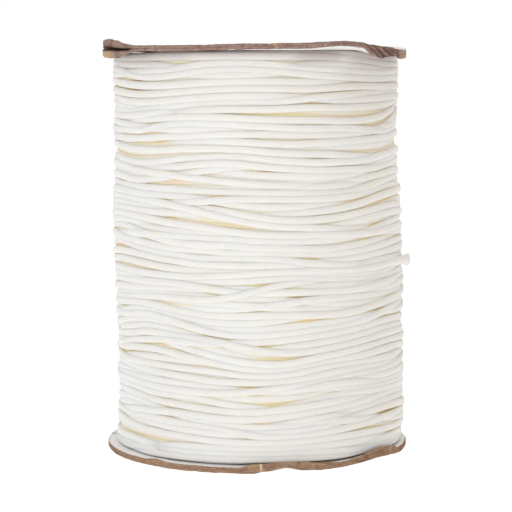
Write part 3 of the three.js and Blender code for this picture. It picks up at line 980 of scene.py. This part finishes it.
inner_run = np.radians(azimuth_grid) * INNER_RADIUS
add_grid_uv(inner_mesh, "cord_uv", inner_run, height_grid / UNDER_PITCH)
inner = add_object("turns_beneath", inner_mesh, satin)
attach(inner, "root")
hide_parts("winding")


# ---- the cardboard discs
BOARD_COLUMNS = 720
FACE_RINGS = np.array([6, 12, 18, 24, 28, 30.5, 31.5, 32.3, 33.0, 33.6, 34.1, 34.6, 35.0, 35.35,
                       35.65, 35.9, 36.12, 36.28])
LIP_SHARES = np.array([0.04, 0.16, 0.32, 0.5, 0.68, 0.84, 0.96])  # rows down each half of the rim
NOTCH_SHARES = np.array([0.35, 0.7, 1.0])  # rows into the split
SEAM = 0.03  # the closed plies' hairline

# what each rim has been through: azimuth, half width in degrees, from and to how far down the
# rim (0 its upper edge, 1 its lower one), dent inwards in millimetres, tint (+ pale, - dark), and
# how many degrees further round it runs from the upper edge to the lower one
TOP_MARKS = [
    (-74, 12, 0.55, 1, 0, 0.75, 0), (-78, 9, 0, 0.5, 0.05, -0.15, 0),
    # the long dark band at -72, along the middle of the rim, is painted shade in the split
    (-66, 2, 0, 0.5, 0.15, -0.45, -3), (-72, 26, 0.42, 0.58, 0, -0.9, 0),
    (-61, 3, 0.5, 1, 0.12, -0.5, 0), (-86, 2.5, 0, 0.5, 0.12, 0.3, 0),
    (-56, 2.5, 0, 0.7, 0.1, -0.35, 6), (-45, 0.7, 0, 0.8, 0.12, 0.25, 0),
    (-40, 0.6, 0.3, 1, 0.1, 0.2, 1), (-37, 0.5, 0, 0.6, 0.1, 0.25, 0),
    (-20, 1.2, 0, 1, 0.05, -0.3, 2), (7, 0.45, 0, 1, 0.15, 0.9, 1), (26, 0.8, 0.3, 1, 0.1, 0.4, 0),
    (33, 7, 0, 1, 0, -0.2, 0), (56, 9, 0, 1, 0, -0.35, 0), (43, 1.5, 0, 1, 0.2, -0.7, 9),
    (48, 1.2, 0, 1, 0.3, -0.75, 9), (51, 0.8, 0.1, 1, 0, 0.6, 9), (53, 1.1, 0.1, 1, 0.3, -0.8, 9),
    (60, 4, 0.15, 0.5, 0.1, -0.6, 6), (62, 5, 0.5, 1, 0.1, -0.35, 0), (67, 0.9, 0, 1, 0.5, -0.6, 0),
    (79, 9, 0, 1, 0, 0.45, 0),
]
BOTTOM_MARKS = [
    (1.2, 0.5, 0, 1, 0.4, 1.6, 0), (-2.5, 2, 0, 1, 0.1, 0.35, 0), (-7, 3, 0.3, 1, 0, -0.4, 4),
    (5, 1.6, 0, 1, 0, -0.3, 0), (-37, 3.5, 0, 0.5, 0.1, 0.2, 0), (-55, 7, 0, 1, 0, 0.15, 0),
    (12, 1, 0.5, 1, 0.1, -0.4, 3), (27, 1.2, 0, 0.5, 0.1, -0.4, 0), (36, 2, 0.4, 1, 0.1, -0.35, 6),
    (43, 1.2, 0, 1, 0.2, -0.4, 2), (52, 6, 0.3, 1, 0, -0.35, 0), (60, 1, 0, 0.7, 0.15, 0.5, 0),
    (70, 1.2, 0, 1, 0.2, -0.4, 0), (79, 6, 0, 1, 0, -0.3, 0), (-70, 2, 0, 1, 0.05, -0.3, 3),
]
# painted shade beneath the top disc, and a stain on the bottom one, on the paper faces:
# azimuth, half width, radius, reach inwards, on top or beneath, tint
TOP_UNDERSIDE_SHADE = [(-49, 12, 35.0, 4.0, 1.0, -0.9)]
BOTTOM_STAINS = [(-97, 1.4, 35.6, 0.7, 0.0, -1.5)]
DARK_EDGE_FROM = 35.7  # the radius from which the paper is darker
SPLIT_SEEN = 2.4  # how deep the split stays open before the plies meet
SPLIT_SHUTS = (-82.0, -68.0)  # the split's depth dies out between these azimuths


def ring_noise(rng, knots, size):
    """A wandering value for each column that closes on itself."""
    at = np.arange(BOARD_COLUMNS) / BOARD_COLUMNS * knots
    return eased_between(rng.normal(0.0, size, knots), at)


def board_piece(name, rim, marks, face_marks, rosy, underside, shift, rng):
    azimuth = np.arange(BOARD_COLUMNS) * 360.0 / BOARD_COLUMNS - 180.0
    upper, lower, split = read_rim(rim, azimuth).T
    upper, lower = (edge + ring_noise(rng, 140, 0.035) + ring_noise(rng, 500, 0.02)
                    for edge in (upper, lower))
    top_edge, low_edge = underside + DISC_THICKNESS + upper, underside + lower
    middle = (top_edge + low_edge) / 2
    half = np.maximum(split, SEAM) / 2
    shut = smooth_step((azimuth - SPLIT_SHUTS[0]) / (SPLIT_SHUTS[1] - SPLIT_SHUTS[0]))
    notch = np.maximum(SPLIT_SEEN * np.minimum(split / 0.6, 1.0) * (0.1 + 0.9 * shut), 0.06)
    ragged = 1.0 + 0.25 * ring_noise(rng, 90, 1.0) * (split > 0.02)

    # each row is (radius, height, how far down the rim)
    topside = underside + DISC_THICKNESS
    rows = [(radius, topside + upper * bend(radius), 0.0) for radius in FACE_RINGS]
    rows += [(DISC_RADIUS, top_edge + (middle + half - top_edge) * share, 0.5 * share)
             for share in LIP_SHARES]
    rows += [(DISC_RADIUS - notch * ragged * share, middle + side * half * (1 - share), 0.5)
             for side, shares in ((1, NOTCH_SHARES), (-1, NOTCH_SHARES[::-1][1:]))
             for share in shares]
    rows += [(DISC_RADIUS, middle - half + (low_edge - middle + half) * share, 0.5 + 0.5 * share)
             for share in LIP_SHARES]
    rows += [(radius, underside + lower * bend(radius), 1.0) for radius in FACE_RINGS[::-1]]

    faces_above = len(FACE_RINGS)
    rim_rows = len(rows) - 2 * faces_above
    radii, level = (np.stack([np.broadcast_to(row[part], azimuth.shape) for row in rows], axis=1)
                    for part in (0, 1))
    down = np.array([row[2] for row in rows])
    tint = np.zeros_like(radii)
    on_rim = slice(faces_above, faces_above + rim_rows)

    # the cut edge: bulging plies, torn fibres and rounded corners
    plies = np.stack([ring_noise(rng, 60, 0.03) + ring_noise(rng, 330, 0.022)
                      for _ in range(rim_rows)], 1)
    plies = plies + ring_noise(rng, 45, 0.05)[:, None]
    corner = 0.14 * (1.0 - smooth_step(np.minimum(down, 1.0 - down) / 0.12))
    radii = radii.copy()
    radii[:, on_rim] += plies - 0.08 - corner[on_rim]
    for at, wide, first, last, dent, shade, slant in marks:
        turn = turn_from(azimuth, at)[:, None] - slant * down
        near = np.exp(-(turn / wide) ** 2)
        reach = smooth_step((down - first) / 0.08 + 0.5) * smooth_step((last - down) / 0.08 + 0.5)
        radii[:, on_rim] -= (near * reach * dent)[:, on_rim]
        tint += near * reach * shade
    # painted shade inside the split between the plies
    inside_split = np.minimum(split / 0.3, 1.0)[:, None]
    first_notch = faces_above + len(LIP_SHARES)
    in_notch = slice(first_notch, first_notch + 2 * len(NOTCH_SHARES) - 1)
    tint[:, in_notch] -= 1.2 * inside_split
    tint = np.clip(tint, -1.0, 1.0)

    # the paper faces: slight waves, and darker where they meet the cut edge
    for block in (slice(0, faces_above), slice(faces_above + rim_rows, None)):
        edge_dark = (0.35 + 3 * np.abs(ring_noise(rng, 80, 0.1)))[:, None]
        tint[:, block] = -np.clip((radii[:, block] - DARK_EDGE_FROM) / 0.6, 0, 1) * edge_dark
        # painted shade beneath the top disc, and a real stain on the bottom one
        for at, wide, radius, inwards, side, shade in face_marks:
            if side == (block.start > 0):
                near = patch(azimuth[:, None], radii[:, block], at, radius, wide, inwards)
                tint[:, block] += near * shade
        waves = ring_noise(rng, 24, 0.03)[:, None] * smooth_step((radii[:, block] - 20.0) / 14.0)
        level[:, block] += waves * (radii[:, block] < 36.0)

    sections = around(azimuth[:, None], radii, level, shift)
    top_pole = [shift, 0.0, underside + DISC_THICKNESS]
    low_pole = [shift, 0.0, underside]
    mesh = lathe_mesh(name, sections, top_pole, low_pole)
    add_floats(mesh, "tint", np.append(np.clip(tint, -1.0, 1.0), [0.0, 0.0]))
    blush = rosy * (1.0 - np.clip(tint, 0.0, 1.0))
    add_floats(mesh, "rosy", np.append(blush, [0.0, 0.0]))
    add_grid_uv(mesh, "rim_uv", np.radians(azimuth)[:, None] * DISC_RADIUS + 0 * level, level)
    mesh.materials.append(paper)
    mesh.materials.append(kraft)
    columns_faces = np.zeros((BOARD_COLUMNS, len(rows) - 1), dtype=np.int32)
    columns_faces[:, faces_above - 1 : faces_above + rim_rows] = 1
    index = np.concatenate([columns_faces.ravel(), np.zeros(2 * BOARD_COLUMNS, dtype=np.int32)])
    mesh.polygons.foreach_set("material_index", index)
    mesh.set_sharp_from_angle(angle=math.radians(50))
    piece = add_object(name, mesh)
    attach(piece, "root")
    return piece


def disc_middle(node):
    low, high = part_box(node)
    return (low[0] + high[0]) / 2 / MM


board_rng = np.random.default_rng(BOARD_SEED)
top_board = board_piece("top_board", TOP_RIM, TOP_MARKS, TOP_UNDERSIDE_SHADE, 1.0,
                        SPOOL_HEIGHT - DISC_THICKNESS, disc_middle("top_disc"), board_rng)
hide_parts("top_disc")
bottom_board = board_piece("bottom_board", BOTTOM_RIM, BOTTOM_MARKS, BOTTOM_STAINS, 0.0, 0.0,
                           disc_middle("bottom_disc"), board_rng)
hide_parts("bottom_disc")


# ---- floor and light
FLOOR_HALF, FLOOR_BELOW = 12.0, 0.0002  # metres
RIGHT_COLOUR = (1.0, 0.80, 0.56, 1.0)
ROLL_MIDDLE, KEY_PLACE = (0.0, 0.0, 0.045), (-0.34, -0.95, 0.36)


def floor_piece():
    white = shading("pale_floor").finish(
        Roughness=0.9, Specular_IOR_Level=0.1, Base_Color=(0.93, 0.93, 0.93, 1.0),
        Emission_Color=(1.0, 1.0, 1.0, 1.0), Emission_Strength=0.4)
    mesh = bpy.data.meshes.new("floor")
    corners = [(x * FLOOR_HALF, y * FLOOR_HALF, 0) for x, y in ((-1, -1), (1, -1), (1, 1), (-1, 1))]
    mesh.from_pydata(corners, [], [(0, 1, 2, 3)])
    floor = add_object("floor", mesh, white)
    floor.location.z = -FLOOR_BELOW


def studio_sky():
    """White all round, dimmer in front at both sides, and warmer at the right one."""
    world = bpy.data.worlds.new("studio")
    bpy.context.scene.world = world
    sky = Nodes(world)
    times = sky.times
    place = sky.add("TexCoord").outputs["Generated"]
    axes = sky.add("SeparateXYZ", {0: place}).outputs

    def ramp(value, *ends):
        return sky.spread(value, *ends, easing="SMOOTHSTEP")

    front = ramp(axes["Y"], 0.6, -0.2)
    right = times(ramp(axes["X"], 0.0, 0.9), front)
    left = times(ramp(axes["X"], -0.2, -0.95), front)
    low = ramp(axes["Z"], 0.2, 0.7, 1.0, 0.0)
    high = ramp(axes["Z"], 0.1, 0.6)
    on_right = times(ramp(right, 0.0, 1.0, 1.0, 0.45), ramp(times(right, low), 0.0, 1.0, 1.0, 0.4))
    on_left = times(ramp(left, 0.0, 1.0, 1.0, 0.34), ramp(times(left, high), 0.0, 1.0, 1.0, 0.4))
    background = sky.nodes["Background"].inputs
    sky.put(background["Color"], sky.mix(right, (1.0, 1.0, 1.0, 1.0), RIGHT_COLOUR))
    sky.put(background["Strength"], times(on_right, on_left))


floor_piece()
studio_sky()
key_data = bpy.data.lights.new("key", "AREA")
key_data.shape = "RECTANGLE"
key_data.size, key_data.size_y = 0.7, 0.7
key_data.energy = 2.0
key_data.color = (1.0, 0.99, 0.97)
key_light = add_object("key", key_data)
key_light.location = KEY_PLACE
key_aim = Vector(ROLL_MIDDLE) - Vector(KEY_PLACE)
key_light.rotation_euler = key_aim.to_track_quat("-Z", "Y").to_euler()

scene = bpy.context.scene
scene.view_settings.view_transform = "Standard"
scene.view_settings.look = "None"
scene.view_settings.exposure = 0.0
scene.view_settings.gamma = 1.0
